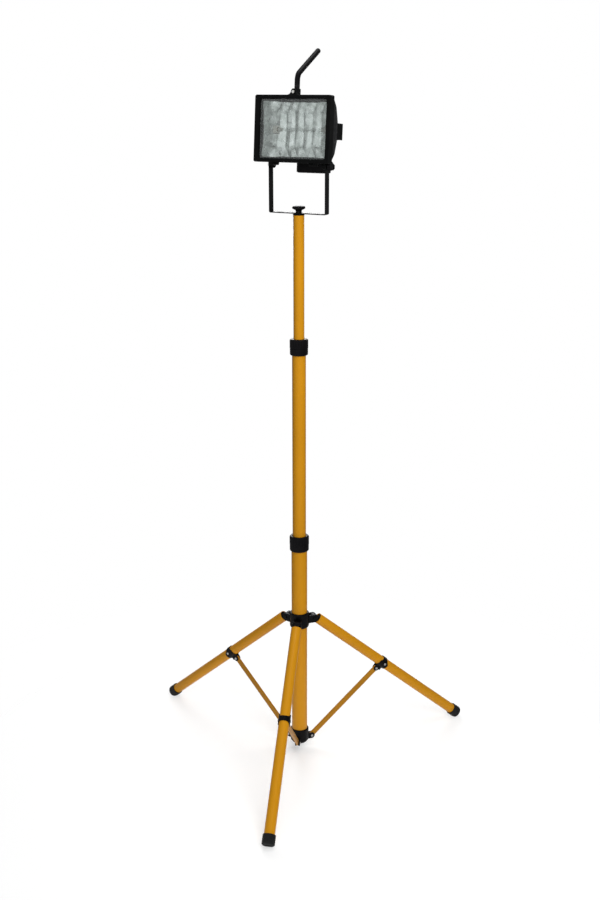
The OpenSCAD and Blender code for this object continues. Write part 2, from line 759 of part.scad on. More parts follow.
module brace(turn) {
    c = cos(leg_angle);
    s = sin(leg_angle);
    drop = leg_rise - brace_drop;
    top = [leg_pivot_r + brace_along * c + drop * s, leg_pivot_z - brace_along * s + drop * c];
    foot = [hub_pivot_r, hub_pivot_z];
    span = norm(top - foot);
    slope = atan2(top[1] - foot[1], top[0] - foot[0]);
    color(yellow) leg_side(turn) translate([foot[0], 0, foot[1]]) rotate([0, -slope, 0]) difference() {
        union() {
            translate([0, -brace_t / 2, -brace_w / 2]) cube([span, brace_t, brace_w]);
            rod_y(brace_w / 2, brace_t);
            translate([span, 0, 0]) rod_y(brace_w / 2, brace_t);
        }
        rod_y(rivet_r + running_gap, 20);
        translate([span, 0, 0]) rod_y(rivet_r + running_gap, 20);
    }
}

module front_leg_tube() leg_tube(front_turn);
module front_leg_plug() leg_plug(front_turn);
module front_foot_cap() foot_cap(front_turn);
module front_leg_clip() leg_clip(front_turn);
module front_clip_rivets() clip_rivets(front_turn);
module front_brace() brace(front_turn);
module left_leg_tube() leg_tube(left_turn);
module left_leg_plug() leg_plug(left_turn);
module left_foot_cap() foot_cap(left_turn);
module left_leg_clip() leg_clip(left_turn);
module left_clip_rivets() clip_rivets(left_turn);
module left_brace() brace(left_turn);
module right_leg_tube() leg_tube(right_turn);
module right_leg_plug() leg_plug(right_turn);
module right_foot_cap() foot_cap(right_turn);
module right_leg_clip() leg_clip(right_turn);
module right_clip_rivets() clip_rivets(right_turn);
module right_brace() brace(right_turn);

lower_tube();
lower_hub();
lower_hub_rivets();
lower_collar_body();
lower_collet();
lower_collar_nut();
middle_tube();
middle_slide_bush();
upper_collar_body();
upper_collet();
upper_collar_nut();
upper_tube();
upper_slide_bush();
top_plug();
top_stud();
pan_knob();
yoke();
tilt_bolts();
tilt_knob();
housing();
reflector();
lamp_holders();
holder_contacts();
lamp_tube();
lamp_end_caps();
filament();
bezel_hinge_pins();
handle();
terminal_box();
terminal_box_cover();
box_screws();
terminal_block();
gland_body();
gland_nut();
bezel();
front_glass();
glass_gasket();
bezel_screw();
leg_hub();
leg_pins();
hub_lock_screw();
front_leg_tube();
front_leg_plug();
front_foot_cap();
front_leg_clip();
front_clip_rivets();
front_brace();
left_leg_tube();
left_leg_plug();
left_foot_cap();
left_leg_clip();
left_clip_rivets();
left_brace();
right_leg_tube();
right_leg_plug();
right_foot_cap();
right_leg_clip();
right_clip_rivets();
right_brace();
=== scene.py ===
"""Looks for a halogen work light on a folding telescopic tripod: enamelled tubes, black mouldings,
and a cast lamp head with a fluted reflector behind clear glass."""

import json
import math

import bmesh
import bpy
import numpy as np
from mathutils import Matrix, Vector

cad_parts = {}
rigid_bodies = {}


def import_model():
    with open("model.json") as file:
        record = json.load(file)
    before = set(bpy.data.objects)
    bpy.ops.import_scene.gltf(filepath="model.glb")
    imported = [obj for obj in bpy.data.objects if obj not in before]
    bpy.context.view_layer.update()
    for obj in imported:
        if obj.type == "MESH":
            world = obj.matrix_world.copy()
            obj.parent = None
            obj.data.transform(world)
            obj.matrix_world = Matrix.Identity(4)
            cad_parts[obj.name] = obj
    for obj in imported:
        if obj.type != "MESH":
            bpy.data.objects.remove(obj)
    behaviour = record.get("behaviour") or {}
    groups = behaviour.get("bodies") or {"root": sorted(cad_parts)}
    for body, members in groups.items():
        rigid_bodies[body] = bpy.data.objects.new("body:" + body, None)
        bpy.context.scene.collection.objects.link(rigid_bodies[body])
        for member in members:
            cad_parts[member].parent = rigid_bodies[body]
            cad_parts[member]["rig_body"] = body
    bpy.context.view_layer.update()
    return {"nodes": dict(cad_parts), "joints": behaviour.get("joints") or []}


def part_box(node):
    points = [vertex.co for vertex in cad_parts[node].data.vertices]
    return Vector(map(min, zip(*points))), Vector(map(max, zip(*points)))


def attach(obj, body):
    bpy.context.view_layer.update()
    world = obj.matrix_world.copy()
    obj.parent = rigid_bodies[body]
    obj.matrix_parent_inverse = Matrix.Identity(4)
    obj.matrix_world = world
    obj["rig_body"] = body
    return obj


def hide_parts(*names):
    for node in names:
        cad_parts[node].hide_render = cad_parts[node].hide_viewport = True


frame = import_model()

MM = 0.001
SIDES = ("front", "left", "right")
UP = Vector((0, 0, 1))


# ---- places, read from the frame ----
def joint(name):
    """The frame's entry for a joint."""
    return next(j for j in frame["joints"] if j["name"] == name)


def coords(node):
    """The CAD node's vertices, in metres."""
    mesh = frame["nodes"][node].data
    flat = np.empty(len(mesh.vertices) * 3)
    mesh.vertices.foreach_get("co", flat)
    return flat.reshape(-1, 3)


def main_axes(node):
    """The node's centre, and its own directions from the longest to the shortest."""
    points = np.unique(coords(node).round(decimals=7), axis=0)
    centre = (points.min(0) + points.max(0)) / 2
    spread = points - points.mean(0)
    return Vector(centre), [Vector(v) for v in np.linalg.svd(spread, full_matrices=False)[2]]


def axes_at(origin, x, z):
    """A local frame in millimetres at origin, as a 4x4 matrix."""
    x, z = Vector(x).normalized(), Vector(z).normalized()
    y = z.cross(x).normalized()
    z = x.cross(y)
    matrix = Matrix((x * MM, y * MM, z * MM)).transposed().to_4x4()
    matrix.translation = Vector(origin)
    return matrix


def bar_frame(origin, along):
    """A local frame on a sloping bar: X along it, Z square to it and up."""
    sideways = UP.cross(along).normalized()
    return axes_at(origin, along, along.cross(sideways))


def local_points(node, matrix):
    """The CAD node's vertices in a local frame, in millimetres."""
    inverse = np.array(matrix.inverted())
    return coords(node) @ inverse[:3, :3].T + inverse[:3, 3]


def local_box(node, matrix):
    """Lowest and highest corner of a node in a local frame, in millimetres."""
    points = local_points(node, matrix)
    return Vector(points.min(0)), Vector(points.max(0))


def column_frame():
    """An upright frame on the floor, on the axis of the column."""
    low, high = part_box("lower_tube")
    return axes_at(((low.x + high.x) / 2, (low.y + high.y) / 2, 0), (1, 0, 0), UP)


def head_frames():
    """Two frames on the tilt axis: one that leans with the front glass, and an upright one."""
    tilt = joint("head_tilt")
    across = -Vector(tilt["axis"])
    through_glass = main_axes("front_glass")[1][2]
    if through_glass.y < 0:
        through_glass.negate()
    leaning = axes_at(tilt["pos_m"], across, across.cross(through_glass))
    return leaning, axes_at(tilt["pos_m"], across, UP)


def leg_frame(side):
    """A frame at the leg's pivot, with X down the leg."""
    pivot = Vector(joint(f"{side}_leg_fold")["pos_m"])
    centre, (along, _, _) = main_axes(f"{side}_leg_tube")
    if along.dot(centre - COLUMN_FOOT) < 0 or along.z > 0:
        along.negate()
    return bar_frame(pivot, along)


def brace_frame(side):
    """A frame at the middle of the brace, with X along it."""
    centre, (along, _, _) = main_axes(f"{side}_brace")
    return bar_frame(centre, along)


def column_radii(node):
    """How far each of the CAD node's vertices is from the column's axis, in millimetres."""
    return np.hypot(*(coords(node)[:, :2] - np.array(COLUMN_FOOT)[:2]).T) / MM


COLUMN = column_frame()
COLUMN_FOOT = COLUMN.translation.copy()
HEAD, YOKE = head_frames()
LEG = {side: leg_frame(side) for side in SIDES}
BRACE = {side: brace_frame(side) for side in SIDES}
LEG_END = local_box("front_foot_cap", LEG["front"])[1].x


# ---- camera ----
# The camera stands CAMERA_DISTANCE out from the column, turned round it and looking down at it.
CAMERA_TURN = math.radians(9)
CAMERA_DOWN = math.radians(16.45)
CAMERA_ROLL = math.radians(0.09)
CAMERA_SWING = math.radians(0.042)
CAMERA_DISTANCE = 2.7998
CAMERA_HEIGHT = 1.6081
LENS = 49.57
SENSOR_WIDTH = 36


def make_camera():
    data = bpy.data.cameras.new("camera")
    data.lens = LENS
    data.sensor_width = SENSOR_WIDTH
    camera = bpy.data.objects.new("camera", data)
    bpy.context.scene.collection.objects.link(camera)
    out = Vector((math.sin(CAMERA_TURN), -math.cos(CAMERA_TURN), 0))
    view = (-out * math.cos(CAMERA_DOWN) - UP * math.sin(CAMERA_DOWN)).normalized()
    view = Matrix.Rotation(-CAMERA_SWING, 3, UP) @ view
    right = view.cross(UP).normalized()
    top = right.cross(view)
    roll = Matrix.Rotation(CAMERA_ROLL, 3, view)
    right, top = roll @ right, roll @ top
    matrix = Matrix((right, top, -view)).transposed().to_4x4()
    matrix.translation = COLUMN_FOOT + out * CAMERA_DISTANCE + UP * CAMERA_HEIGHT
    camera.matrix_world = matrix
    bpy.context.scene.camera = camera


make_camera()


# ---- materials ----
class Nodes:
    """A node tree under construction, and calls that add nodes to it."""

    def __init__(self, tree):
        self.tree = tree

    def add(self, kind, **settings):
        node = self.tree.nodes.new(kind)
        for key, value in settings.items():
            setattr(node, key, value)
        return node

    def link(self, source, target):
        self.tree.links.new(source, target)

    def remap(self, value, low_in, high_in, low_out=0.0, high_out=1.0):
        """A value stretched from one range to another, which it doesn't leave."""
        node = self.add("ShaderNodeMapRange")
        for key, number in (("From Min", low_in), ("From Max", high_in),
                            ("To Min", low_out), ("To Max", high_out)):
            node.inputs[key].default_value = number
        self.link(value, node.inputs["Value"])
        return node.outputs["Result"]

    def blend(self, factor, first, second):
        """A shader between first, where factor is 0, and second, where it is 1."""
        node = self.add("ShaderNodeMixShader")
        self.link(factor, node.inputs["Fac"])
        self.link(first, node.inputs[1])
        self.link(second, node.inputs[2])
        return node.outputs["Shader"]


class Shader(Nodes):
    """A node material: its Principled node, and calls that give it colour, roughness and bumps.
    Depths are in metres, and scales in features per metre."""

    def __init__(self, name, **values):
        self.material = bpy.data.materials.new(name)
        self.material.use_nodes = True
        super().__init__(self.material.node_tree)
        self.bsdf = self.tree.nodes["Principled BSDF"]
        self.output = self.tree.nodes["Material Output"]
        for key, value in values.items():
            self.bsdf.inputs[key.replace("_", " ")].default_value = value
        self.place = self.add("ShaderNodeTexCoord").outputs["Object"]

    def scaled(self, scale):
        """The object's own coordinates, stretched by three factors."""
        node = self.add("ShaderNodeMapping")
        node.inputs["Scale"].default_value = scale
        self.link(self.place, node.inputs["Vector"])
        return node.outputs["Vector"]

    def noise(self, scale, detail=3.0, place=None, distortion=0.0):
        node = self.add("ShaderNodeTexNoise")
        node.inputs["Scale"].default_value = scale
        node.inputs["Detail"].default_value = detail
        node.inputs["Distortion"].default_value = distortion
        self.link(place or self.place, node.inputs["Vector"])
        return node.outputs["Fac"]

    def cells(self, scale, feature="F1"):
        node = self.add("ShaderNodeTexVoronoi", feature=feature)
        node.inputs["Scale"].default_value = scale
        self.link(self.place, node.inputs["Vector"])
        return node.outputs["Distance"]

    def pointiness(self):
        """Above a half on outer edges, and below it in creases."""
        return self.add("ShaderNodeNewGeometry").outputs["Pointiness"]

    def multiply(self, a, b):
        node = self.add("ShaderNodeMath", operation="MULTIPLY")
        self.link(a, node.inputs[0])
        self.link(b, node.inputs[1])
        return node.outputs[0]

    def mix(self, factor, a, b):
        """A colour between a and b, each a colour or a socket."""
        node = self.add("ShaderNodeMix", data_type="RGBA")
        self.link(factor, node.inputs["Factor"])
        for socket, value in ((node.inputs[6], a), (node.inputs[7], b)):
            if isinstance(value, tuple):
                socket.default_value = (*value, 1)
            else:
                self.link(value, socket)
        return node.outputs[2]

    def mottled(self, scale, a, b, high_in=0.7, distortion=0.0):
        """A colour that wanders between a and b in soft patches."""
        return self.mix(self.remap(self.noise(scale, 4, distortion=distortion), 0.35, high_in), a, b)

    def worn_edges(self):
        """1 on sharp outer edges and 0 elsewhere, broken up by noise."""
        edge = self.remap(self.pointiness(), 0.52, 0.6)
        return self.multiply(edge, self.remap(self.noise(220), 0.42, 0.62))

    def colour(self, socket):
        self.link(socket, self.bsdf.inputs["Base Color"])

    def roughness(self, scale, smooth, rough, detail=4):
        """Roughness that wanders between two values."""
        patches = self.remap(self.noise(scale, detail), 0.3, 0.7, smooth, rough)
        self.link(patches, self.bsdf.inputs["Roughness"])

    def bump(self, height, strength, depth):
        """Bumps on top of those that are there already."""
        node = self.add("ShaderNodeBump")
        node.inputs["Strength"].default_value = strength
        node.inputs["Distance"].default_value = depth
        self.link(height, node.inputs["Height"])
        if self.bsdf.inputs["Normal"].links:
            self.link(self.bsdf.inputs["Normal"].links[0].from_socket, node.inputs["Normal"])
        self.link(node.outputs["Normal"], self.bsdf.inputs["Normal"])


def yellow_enamel(name, painted_shade):
    """Stove enamel on steel. The second argument is painted shade: how far the colour is on its way from
    light to dark.
    """
    light, dark = (0.74, 0.318, 0.007), (0.34, 0.146, 0.006)
    scratched, chipped = (0.80, 0.42, 0.06), (0.42, 0.28, 0.12)
    s = Shader(name, Coat_Weight=0.05, Coat_Roughness=0.15, Specular_IOR_Level=0.16)
    # The base wanders at random a little towards the dark tone, and further by the painted shade
    base = s.mix(s.remap(s.noise(7, 2), 0.35, 0.7, painted_shade * 0.9, 0.12 + painted_shade), light, dark)
    scuffs = s.remap(s.noise(1, 6, s.scaled((420, 420, 16))), 0.68, 0.80, 0, 0.3)
    s.colour(s.mix(s.worn_edges(), s.mix(scuffs, base, scratched), chipped))
    s.roughness(60, 0.30, 0.42)
    s.bump(s.noise(620, 2), 0.08, 0.0004)
    s.bump(s.noise(90, 2), 0.04, 0.0008)
    return s.material


def black_moulding():
    """Black plastic with a fine grain."""
    s = Shader("black_moulding", Specular_IOR_Level=0.09)
    base = s.mottled(24, (0.0020, 0.0018, 0.0022), (0.0042, 0.0036, 0.0042))
    s.colour(s.mix(s.worn_edges(), base, (0.022, 0.021, 0.022)))
    s.roughness(140, 0.30, 0.44)
    s.bump(s.cells(1900), 0.12, 0.0003)
    s.bump(s.noise(160), 0.06, 0.0006)
    return s.material


def black_powder_coat(name, shine, roughness, grain):
    """Baked black powder, greyer where its edges are rubbed."""
    s = Shader(name, Specular_IOR_Level=shine)
    base = s.mottled(16, (0.0018, 0.0020, 0.0020), (0.0040, 0.0042, 0.0040))
    s.colour(s.mix(s.worn_edges(), base, (0.035, 0.035, 0.035)))
    s.roughness(110, roughness - 0.07, roughness + 0.08)
    s.bump(s.noise(1100), grain, 0.0004)
    s.bump(s.noise(240, 2), grain * 0.5, 0.0006)
    return s.material


def zinc_steel(name, light, dark, roughness):
    """Zinc plate in two tones, with a fine grain."""
    s = Shader(name, Metallic=1.0)
    s.colour(s.mottled(90, light, dark))
    s.roughness(400, roughness - 0.1, roughness + 0.1)
    s.bump(s.noise(900), 0.08, 0.0003)
    return s.material


def reflector_metal():
    """Bright sheet aluminium, with painted shade darkening the creases between its flutes."""
    s = Shader("bright_aluminium", Metallic=0.9)
    sheet = s.mottled(75, (0.60, 0.63, 0.61), (0.90, 0.92, 0.91), high_in=0.65, distortion=0.8)
    # Painted shade: the creases between the flutes are coloured darker
    painted_crease_shade = s.remap(s.pointiness(), 0.455, 0.495, 1, 0)
    s.colour(s.mix(painted_crease_shade, sheet, (0.22, 0.24, 0.23)))
    s.roughness(140, 0.24, 0.36)
    s.bump(s.cells(260, "SMOOTH_F1"), 0.25, 0.0008)
    s.bump(s.noise(60, 4), 0.30, 0.0015)
    return s.material


def clear_material(name, tint, edge_gloss, dust):
    """Clear glass as a film of reflection over a tinted see-through surface, with a little dust."""
    s = Shader(name)
    see_through = s.add("ShaderNodeBsdfTransparent")
    s.link(s.mottled(14, tint, tuple(c * 0.975 for c in tint), high_in=0.75), see_through.inputs["Color"])
    gloss = s.add("ShaderNodeBsdfGlossy")
    s.link(s.remap(s.noise(45, 4), 0.3, 0.7, 0.01, 0.05), gloss.inputs["Roughness"])
    facing = s.add("ShaderNodeLayerWeight")
    facing.inputs["Blend"].default_value = edge_gloss
    film = s.blend(facing.outputs["Facing"], see_through.outputs["BSDF"], gloss.outputs["BSDF"])
    haze = s.add("ShaderNodeBsdfDiffuse")
    haze.inputs["Color"].default_value = (0.62, 0.66, 0.64, 1)
    dusty = s.remap(s.noise(26, 6), 0.4, 0.8, dust * 0.4, dust)
    s.link(s.blend(dusty, film, haze.outputs["BSDF"]), s.output.inputs["Surface"])
    s.tree.nodes.remove(s.bsdf)
    return s.material


def plain_solid(name, colour_a, colour_b, roughness, grain, metallic=0.0):
    """A finely grained solid in two close tones."""
    s = Shader(name, Metallic=metallic)
    s.colour(s.mottled(120, colour_a, colour_b))
    s.roughness(260, roughness - 0.06, roughness + 0.08, detail=3)
    s.bump(s.noise(1300), grain, 0.0003)
    return s.material


def foot_rubber():
    """Matt black rubber with dust in patches."""
    s = Shader("foot_rubber", Specular_IOR_Level=0.3)
    dusty = s.remap(s.noise(110, 6), 0.55, 0.8, 0, 0.5)
    s.colour(s.mix(dusty, (0.005, 0.005, 0.005), (0.028, 0.026, 0.024)))
    s.roughness(300, 0.62, 0.82, detail=3)
    s.bump(s.noise(1500, 4), 0.22, 0.0003)
    return s.material


# One material for each of the record's slots
MATERIALS = {
    "yellow_paint": yellow_enamel("yellow_enamel", painted_shade=0.0),
    "black_plastic": black_moulding(),
    "black_paint": black_powder_coat("satin_black_steel", shine=0.09, roughness=0.38, grain=0.08),
    "black_cast": black_powder_coat("cast_black_housing", shine=0.055, roughness=0.45, grain=0.16),
    "zinc_steel": zinc_steel("zinc_steel", (0.60, 0.61, 0.60), (0.66, 0.63, 0.55), 0.32),
    "reflector": reflector_metal(),
    "glass": clear_material("front_pane", (0.955, 0.972, 0.964), edge_gloss=0.14, dust=0.07),
    "quartz": clear_material("quartz_envelope", (0.992, 0.995, 0.995), edge_gloss=0.03, dust=0.005),
    "ceramic": plain_solid("glazed_steatite", (0.50, 0.50, 0.47), (0.58, 0.57, 0.53), 0.42, 0.08),
    "brass": plain_solid("contact_brass", (0.68, 0.49, 0.20), (0.60, 0.41, 0.15), 0.30, 0.08, 1.0),
    "tungsten": plain_solid("tungsten_coil", (0.48, 0.47, 0.45), (0.58, 0.57, 0.55), 0.36, 0.05, 1.0),
    "silicone": plain_solid("silicone_seal", (0.03, 0.03, 0.03), (0.05, 0.05, 0.05), 0.55, 0.10),
    "nylon": plain_solid("white_nylon", (0.62, 0.61, 0.56), (0.68, 0.67, 0.62), 0.45, 0.10),
    "foot_rubber": foot_rubber(),
}
# The rivets and the braces wear darker variants of their slot's material; the braces' darker enamel is
# painted shade.
DULL_RIVETS = zinc_steel("dull_rivets", (0.50, 0.50, 0.50), (0.34, 0.34, 0.34), 0.40)
SHADED_BRACE_ENAMEL = yellow_enamel("brace_enamel", painted_shade=0.62)


def slot_of(node):
    """The record's material slot of a CAD node: its packed material has the slot's name."""
    name = frame["nodes"][node].data.materials[0].name
    return next(s for s in MATERIALS if name.startswith(s))


# Read before the CAD nodes are painted, which takes their packed materials off
NODE_SLOT = {node: slot_of(node) for node in frame["nodes"]}


def look_of(node):
    """The material that a CAD node, or the piece in its place, wears."""
    if node.endswith("_rivets"):
        return DULL_RIVETS
    # The braces wear yellow enamel darkened with painted shade
    if node.endswith("_brace"):
        return SHADED_BRACE_ENAMEL
    return MATERIALS[NODE_SLOT[node]]


def paint_cad_nodes():
    """Every carried-over CAD node gets a procedural material."""
    for node, thing in frame["nodes"].items():
        thing.data.materials[0] = look_of(node)


# ---- mesh helpers: local frames are in millimetres ----
WELD_DISTANCE = 1e-4
TOO_SHORT = 1e-5
DOME_STEPS = 4


def place(name, mesh, matrix, *nodes, sharp=40):
    """Puts a local mesh in the frame, and lets it ride with and stand for its CAD nodes.
    Edges that turn by more than sharp degrees stay crisp."""
    mesh.transform(matrix)
    mesh.shade_smooth()
    mesh.set_sharp_from_angle(angle=math.radians(sharp))
    mesh.materials.clear()
    mesh.materials.append(look_of(nodes[0]))
    mesh.polygons.foreach_set("material_index", [0] * len(mesh.polygons))
    piece = bpy.data.objects.new(name, mesh)
    bpy.context.scene.collection.objects.link(piece)
    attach(piece, frame["nodes"][nodes[0]]["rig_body"])
    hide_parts(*nodes)


def to_mesh(name, bm):
    bmesh.ops.recalc_face_normals(bm, faces=bm.faces)
    mesh = bpy.data.meshes.new(name)
    bm.to_mesh(mesh)
    bm.free()
    return mesh


def cut_away(bm, point, outward, dist=0.0):
    """Cuts off what lies outward of a plane through point, and leaves the cut open."""
    bmesh.ops.bisect_plane(bm, geom=[*bm.verts, *bm.edges, *bm.faces], dist=dist,
                           plane_co=point, plane_no=outward, clear_outer=True)


def close_rim(bm):
    """Closes the one hole of a mesh."""
    bmesh.ops.edgeloop_fill(bm, edges=[e for e in bm.edges if e.is_boundary])


def bridge(bm, loops):
    """Skins a row of closed loops of vertices, each with as many as the next."""
    for here, there in zip(loops, loops[1:]):
        for k in range(len(here)):
            j = (k + 1) % len(here)
            bm.faces.new((here[k], here[j], there[j], there[k]))


def lathe(bm, profile, segments=96, radius_at=None):
    """Turns a closed outline of (radius, height) points round Z. radius_at(r, z, angle) may flute it."""
    rings = []
    for k in range(segments):
        a = 2 * math.pi * k / segments
        ring = []
        for r, z in profile:
            r_here = radius_at(r, z, a) if radius_at else r
            ring.append(bm.verts.new((r_here * math.cos(a), r_here * math.sin(a), z)))
        rings.append(ring)
    for here, there in zip(rings, rings[1:] + rings[:1]):
        for i in range(len(profile)):
            j = (i + 1) % len(profile)
            bm.faces.new((here[i], there[i], there[j], here[j]))
    bmesh.ops.remove_doubles(bm, verts=bm.verts, dist=WELD_DISTANCE)
    bmesh.ops.dissolve_degenerate(bm, edges=bm.edges, dist=TOO_SHORT)


def arc(centre, radius, start, end, steps=6):
    """Points on an arc, with angles in degrees."""
    angles = [math.radians(start + (end - start) * k / steps) for k in range(steps + 1)]
    return [(centre[0] + radius * math.cos(a), centre[1] + radius * math.sin(a)) for a in angles]


def sweep(bm, path, radius, sides, dome=True):
    """A round bar along a path of points, with domed or flat ends."""
    path = [Vector(p) for p in path]
    rings, side = [], None
    for k, point in enumerate(path):
        ahead = path[min(k + 1, len(path) - 1)] - path[max(k - 1, 0)]
        ahead.normalize()
        if side is None:
            side = ahead.orthogonal().normalized()
        side = (side - ahead * side.dot(ahead)).normalized()
        other = ahead.cross(side)
        rings.append((point, ahead, side, other, radius))
    if dome:
        dome_angles = [math.radians(90 * k / DOME_STEPS) for k in range(1, DOME_STEPS)]
        for end, sign in ((0, -1), (-1, 1)):
            point, ahead, side, other, _ = rings[end]
            cap = [(point + ahead * sign * radius * math.sin(a), ahead, side, other, radius * math.cos(a))
                   for a in dome_angles]
            rings = cap[::-1] + rings if end == 0 else rings + cap
    loops = []
    for point, _, side, other, r in rings:
        loops.append([bm.verts.new(point + (side * math.cos(a) + other * math.sin(a)) * r)
                      for a in (2 * math.pi * k / sides for k in range(sides))])
    bridge(bm, loops)
    bm.faces.new(loops[0][::-1])
    bm.faces.new(loops[-1])


def softened(node, matrix, voxel, passes=4, kept=1.0):
    """A cast or moulded copy of a CAD node: remeshed in its own frame, so that its edges are rounded.
    kept is the share of its faces that stay after that."""
    source = frame["nodes"][node]
    mesh = source.data.copy()
    mesh.transform(matrix.inverted())
    thing = bpy.data.objects.new(f"{node}_remesh", mesh)
    bpy.context.scene.collection.objects.link(thing)
    remesh = thing.modifiers.new("voxels", "REMESH")
    remesh.mode = "VOXEL"
    remesh.voxel_size = voxel
    smooth = thing.modifiers.new("smooth", "SMOOTH")
    smooth.factor = 0.5
    smooth.iterations = passes
    if kept < 1:
        fewer = thing.modifiers.new("fewer", "DECIMATE")
        fewer.ratio = kept
    graph = bpy.context.evaluated_depsgraph_get()
    result = bpy.data.meshes.new_from_object(thing.evaluated_get(graph))
    bpy.data.objects.remove(thing)
    place(f"{node}_moulding", result, matrix, node, sharp=180)


# ---- tubes ----
TUBE_LIP = 0.5


def tube(node):
    """A drawn tube with rolled lips, at its CAD node's place."""
    centre, (along, _, _) = main_axes(node)
    matrix = axes_at(centre, along.orthogonal(), along)
    low, high = local_box(node, matrix)
    points = local_points(node, matrix)
    radii = np.hypot(points[:, 0], points[:, 1])
    outer, inner = radii.max() - TUBE_LIP, radii.min() + TUBE_LIP
    bottom, top = low.z + TUBE_LIP, high.z - TUBE_LIP
    profile = []
    for r, z, start in ((outer, bottom, 0), (inner, bottom, -90), (inner, top, 180), (outer, top, 90)):
        profile += arc((r, z), TUBE_LIP, start, start - 90)
    bm = bmesh.new()
    lathe(bm, profile)
    place(f"{node}_drawn", to_mesh(node, bm), matrix, node)


# ---- collars ----
BARREL_HEIGHT = 16
BARREL_BOTTOM_R, BARREL_TOP_R = 3, 0.6
SLEEVE_WALL = 1.2

# The nut's grip flutes, with how far from its bottom and its top each flute starts and how fast it deepens
NUT_FLUTES, NUT_FLUTE_DEPTH, NUT_FLUTE_SHARPNESS = 18, 0.85, 3
FLUTE_FOOT, FLUTE_FOOT_RAMP = 1.6, 2
FLUTE_HEAD, FLUTE_HEAD_RAMP = 3.2, 3
NUT_SIDE_FOOT, NUT_SIDE_HEAD, NUT_SIDE_STEPS = 1, 5.5, 9
NUT_SKIN = 2.0
NUT_BOTTOM_R, NUT_TOP_R, NUT_TOP_ARC = 0.6, 4.2, 78
NUT_WALL = 1.5
NUT_LIP, NUT_MOUTH = 2, 0.8


def collar_body(node):
    """The fixed lower half of a telescope clamp: a barrel with a soft bottom edge, under a sleeve."""
    low, high = local_box(node, COLUMN)
    outer, bottom, top = high.x, low.z, high.z
    inner = column_radii(node).min()
    sleeve = inner + SLEEVE_WALL
    shoulder = bottom + BARREL_HEIGHT
    profile = [(inner, bottom),
               *arc((outer - BARREL_BOTTOM_R, bottom + BARREL_BOTTOM_R), BARREL_BOTTOM_R, -90, 0),
               *arc((outer - BARREL_TOP_R, shoulder - BARREL_TOP_R), BARREL_TOP_R, 0, 90, 3),
               (sleeve, shoulder), (sleeve, top), (inner, top)]
    bm = bmesh.new()
    lathe(bm, profile)
    place(f"{node}_barrel", to_mesh(node, bm), COLUMN, node)


def ramp(distance, length):
    """Rises from 0 to 1 over a length."""
    return min(1, max(0, distance / length))


def twist_nut(node):
    """The turning half of a telescope clamp, with shallow grip flutes that run out below its top."""
    low, high = local_box(node, COLUMN)
    outer, bottom, top = high.x, low.z, high.z
    radii = column_radii(node)
    inner = radii.min()
    steps_out = np.unique(radii.round(2))
    seat = float(steps_out[steps_out > inner + NUT_WALL][0])

    def fluted(r, z, a):
        if r < outer - NUT_SKIN:
            return r
        fade = ramp(z - bottom - FLUTE_FOOT, FLUTE_FOOT_RAMP) * ramp(top - FLUTE_HEAD - z, FLUTE_HEAD_RAMP)
        groove = max(0.0, math.cos(NUT_FLUTES * a)) ** NUT_FLUTE_SHARPNESS
        return r - NUT_FLUTE_DEPTH * fade * groove

    grip = [(outer, bottom + NUT_SIDE_FOOT + (top - NUT_SIDE_HEAD - bottom) * k / NUT_SIDE_STEPS)
            for k in range(NUT_SIDE_STEPS + 1)]
    profile = [(seat, bottom),
               *arc((outer - NUT_BOTTOM_R, bottom + NUT_BOTTOM_R), NUT_BOTTOM_R, -90, 0, 3), *grip,
               *arc((outer - NUT_TOP_R, top - NUT_TOP_R), NUT_TOP_R, 0, NUT_TOP_ARC, 7),
               (inner + NUT_MOUTH, top), (inner, top - NUT_MOUTH),
               (inner, top - NUT_LIP), (seat, top - NUT_LIP)]
    bm = bmesh.new()
    lathe(bm, profile, 12 * NUT_FLUTES, fluted)
    place(f"{node}_grip", to_mesh(node, bm), COLUMN, node)


# ---- feet ----
FOOT_SOLE = 4
FOOT_EDGE_R = 3
FOOT_RINGS, FOOT_RING_DEPTH = 3, 0.45
# The rings start FOOT_RIM from the cap's mouth, and cover all but FOOT_PLAIN of its length
FOOT_RIM, FOOT_PLAIN, FOOT_SIDE_STEPS = 1.2, 4.4, 24
FOOT_DIMPLE_R, FOOT_DIMPLE_DEPTH = 7, 0.8


def foot_cap(side):
    """A rubber cap with a rolled rim and gripping rings, worn flat where it stands on the floor."""
    node = f"{side}_foot_cap"
    tube_low, tube_high = local_box(f"{side}_leg_tube", LEG[side])
    down_tube = LEG[side] @ Matrix.Rotation(math.radians(90), 4, "Y")
    matrix = down_tube @ Matrix.Translation((-(tube_low.z + tube_high.z) / 2, 0, 0))
    low, high = local_box(node, matrix)
    inner, outer = (tube_high.y - tube_low.y) / 2, high.y
    start, end = low.z, LEG_END
    sides = []
    for k in range(FOOT_SIDE_STEPS + 1):
        part = k / FOOT_SIDE_STEPS
        wave = max(0.0, math.sin(math.pi * part * (FOOT_RINGS + 0.5) * 2))
        z = start + FOOT_RIM + (end - FOOT_PLAIN - start) * k / FOOT_SIDE_STEPS
        sides.append((outer - FOOT_RING_DEPTH * wave, z))
    profile = [(0, end - FOOT_SOLE), (inner, end - FOOT_SOLE), (inner, start),
               (outer - 0.9, start), (outer - 0.2, start + 0.4), *sides,
               *arc((outer - FOOT_EDGE_R, end - FOOT_EDGE_R), FOOT_EDGE_R, 0, 90),
               (FOOT_DIMPLE_R, end), (FOOT_DIMPLE_R - FOOT_DIMPLE_DEPTH, end - FOOT_DIMPLE_DEPTH),
               (0, end - FOOT_DIMPLE_DEPTH)]
    bm = bmesh.new()
    lathe(bm, profile)
    bm.transform(matrix)
    cut_away(bm, (0, 0, 0), -UP, dist=1e-7)
    close_rim(bm)
    place(f"{node}_rubber", to_mesh(node, bm), Matrix.Identity(4), node)


# ---- lamp head ----
GLASS_CORNER_R = 5.5
GLASS_BEVEL = 0.7


